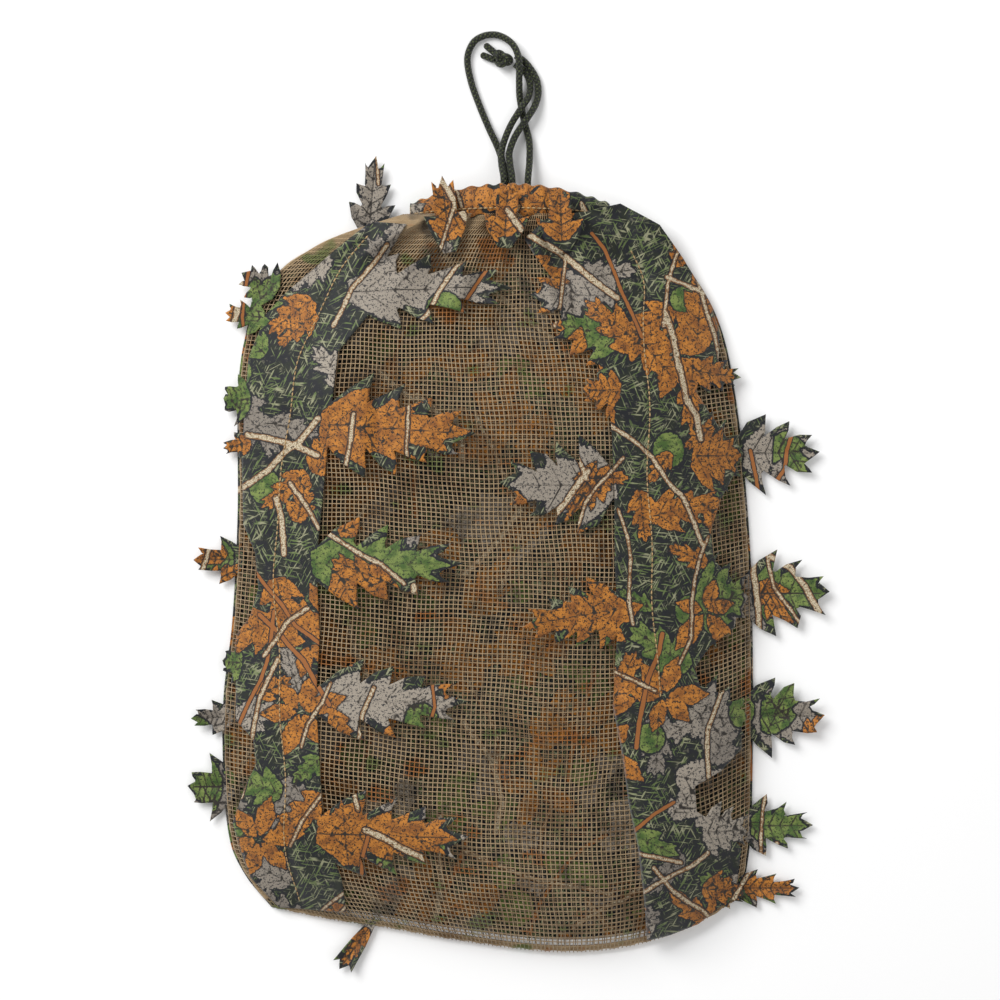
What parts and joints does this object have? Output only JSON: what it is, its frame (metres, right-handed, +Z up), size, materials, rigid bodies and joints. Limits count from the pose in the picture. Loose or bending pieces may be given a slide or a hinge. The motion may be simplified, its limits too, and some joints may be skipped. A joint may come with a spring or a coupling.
{
  "type": "leafy camouflage face mask",
  "caption": "Full-head camouflage face mask of open netting and leaf-cut printed cloth, lying flat with its neck drawn shut by a knotted cord.",
  "frame": {"origin": "centre of the mask's outline, without the drawcord, on the surface that the mask lies on", "axes": "+Y from the closed crown to the drawn neck, +X to the right seen from above, +Z up out of the front netting"},
  "size_m": [0.362, 0.5289, 0.0464],
  "materials": {
    "netting": "open plain-weave netting in tan thread with a camouflage tint, matt",
    "printed_cloth": "thin polyester cloth printed with a leaf and branch camouflage, matt",
    "leaf_cloth": "smooth tightly woven polyester with a leaf and branch print, laser-cut edges, slight sheen",
    "seam_tape": "folded and stitched cloth edge, matt",
    "thread": "twisted tan sewing thread, satin",
    "drawcord": "round braided olive cord with black flecks, satin"
  },
  "bodies": {
    "hood": {"back_panel": "printed_cloth", "front_net": "netting", "left_side_band": "leaf_cloth", "right_side_band": "leaf_cloth", "left_side_seam": "seam_tape", "right_side_seam": "seam_tape", "crown_seam": "seam_tape", "neck_casing_back": "printed_cloth", "neck_casing_front": "printed_cloth", "cased_cord_back": "drawcord", "cased_cord_front": "drawcord", "neck_stitching_front": "thread", "left_leaf_strip": "leaf_cloth", "right_leaf_strip": "leaf_cloth", "left_strip_stitching": "thread", "right_strip_stitching": "thread"},
    "right_leaf_1_flap": {"right_leaf_1": "leaf_cloth"},
    "right_leaf_2_flap": {"right_leaf_2": "leaf_cloth"},
    "right_leaf_3_flap": {"right_leaf_3": "leaf_cloth"},
    "right_leaf_4_flap": {"right_leaf_4": "leaf_cloth"},
    "right_leaf_5_flap": {"right_leaf_5": "leaf_cloth"},
    "shoulder_leaf_flap": {"shoulder_leaf": "leaf_cloth"},
    "left_leaf_1_flap": {"left_leaf_1": "leaf_cloth"},
    "left_leaf_2_flap": {"left_leaf_2": "leaf_cloth"},
    "left_leaf_3_flap": {"left_leaf_3": "leaf_cloth"},
    "crown_leaf_flap": {"crown_leaf": "leaf_cloth"},
    "neck_leaf_1_flap": {"neck_leaf_1": "leaf_cloth"},
    "neck_leaf_2_flap": {"neck_leaf_2": "leaf_cloth"},
    "neck_leaf_3_flap": {"neck_leaf_3": "leaf_cloth"},
    "drawcord": {"drawcord_loop": "drawcord", "drawcord_outer_end": "drawcord", "drawcord_inner_end": "drawcord", "drawcord_upper_tail": "drawcord", "drawcord_lower_tail": "drawcord", "drawcord_knot": "drawcord"}
  },
  "joints": [
    {"name": "right_leaf_1_lift", "type": "hinge", "parent": "hood", "child": "right_leaf_1_flap", "pos_m": [0.1322, 0.062, 0.0034], "axis": [0, -1, 0], "range_deg": [0, 75]},
    {"name": "right_leaf_2_lift", "type": "hinge", "parent": "hood", "child": "right_leaf_2_flap", "pos_m": [0.1372, -0.017, 0.0034], "axis": [0, -1, 0], "range_deg": [0, 75]},
    {"name": "right_leaf_3_lift", "type": "hinge", "parent": "hood", "child": "right_leaf_3_flap", "pos_m": [0.1378, -0.086, 0.0034], "axis": [0, -1, 0], "range_deg": [0, 75]},
    {"name": "right_leaf_4_lift", "type": "hinge", "parent": "hood", "child": "right_leaf_4_flap", "pos_m": [0.1366, -0.148, 0.0034], "axis": [0, -1, 0], "range_deg": [0, 75]},
    {"name": "right_leaf_5_lift", "type": "hinge", "parent": "hood", "child": "right_leaf_5_flap", "pos_m": [0.1316, -0.183, 0.0034], "axis": [0, -1, 0], "range_deg": [0, 75]},
    {"name": "shoulder_leaf_lift", "type": "hinge", "parent": "hood", "child": "shoulder_leaf_flap", "pos_m": [-0.079, 0.1925, 0.0034], "axis": [0.9962, -0.0872, 0], "range_deg": [0, 75]},
    {"name": "left_leaf_1_lift", "type": "hinge", "parent": "hood", "child": "left_leaf_1_flap", "pos_m": [-0.1558, 0.002, 0.0034], "axis": [0, 1, 0], "range_deg": [0, 75]},
    {"name": "left_leaf_2_lift", "type": "hinge", "parent": "hood", "child": "left_leaf_2_flap", "pos_m": [-0.1628, -0.087, 0.0034], "axis": [0, 1, 0], "range_deg": [0, 75]},
    {"name": "left_leaf_3_lift", "type": "hinge", "parent": "hood", "child": "left_leaf_3_flap", "pos_m": [-0.1622, -0.126, 0.0034], "axis": [0, 1, 0], "range_deg": [0, 75]},
    {"name": "crown_leaf_lift", "type": "hinge", "parent": "hood", "child": "crown_leaf_flap", "pos_m": [-0.08, -0.206, 0.0034], "axis": [-0.8192, 0.5736, 0], "range_deg": [0, 75]},
    {"name": "neck_leaf_1_lift", "type": "hinge", "parent": "hood", "child": "neck_leaf_1_flap", "pos_m": [-0.034, 0.181, 0.0241], "axis": [0.9925, 0.1219, 0], "range_deg": [0, 60]},
    {"name": "neck_leaf_2_lift", "type": "hinge", "parent": "hood", "child": "neck_leaf_2_flap", "pos_m": [-0.003, 0.183, 0.0246], "axis": [0.9976, -0.0698, 0], "range_deg": [0, 60]},
    {"name": "neck_leaf_3_lift", "type": "hinge", "parent": "hood", "child": "neck_leaf_3_flap", "pos_m": [0.029, 0.181, 0.0238], "axis": [0.9994, 0.0349, 0], "range_deg": [0, 60]},
    {"name": "drawcord_pull", "type": "slide", "parent": "hood", "child": "drawcord", "axis": [0, 1, 0], "range_m": [0, 0.02]}
  ]
}
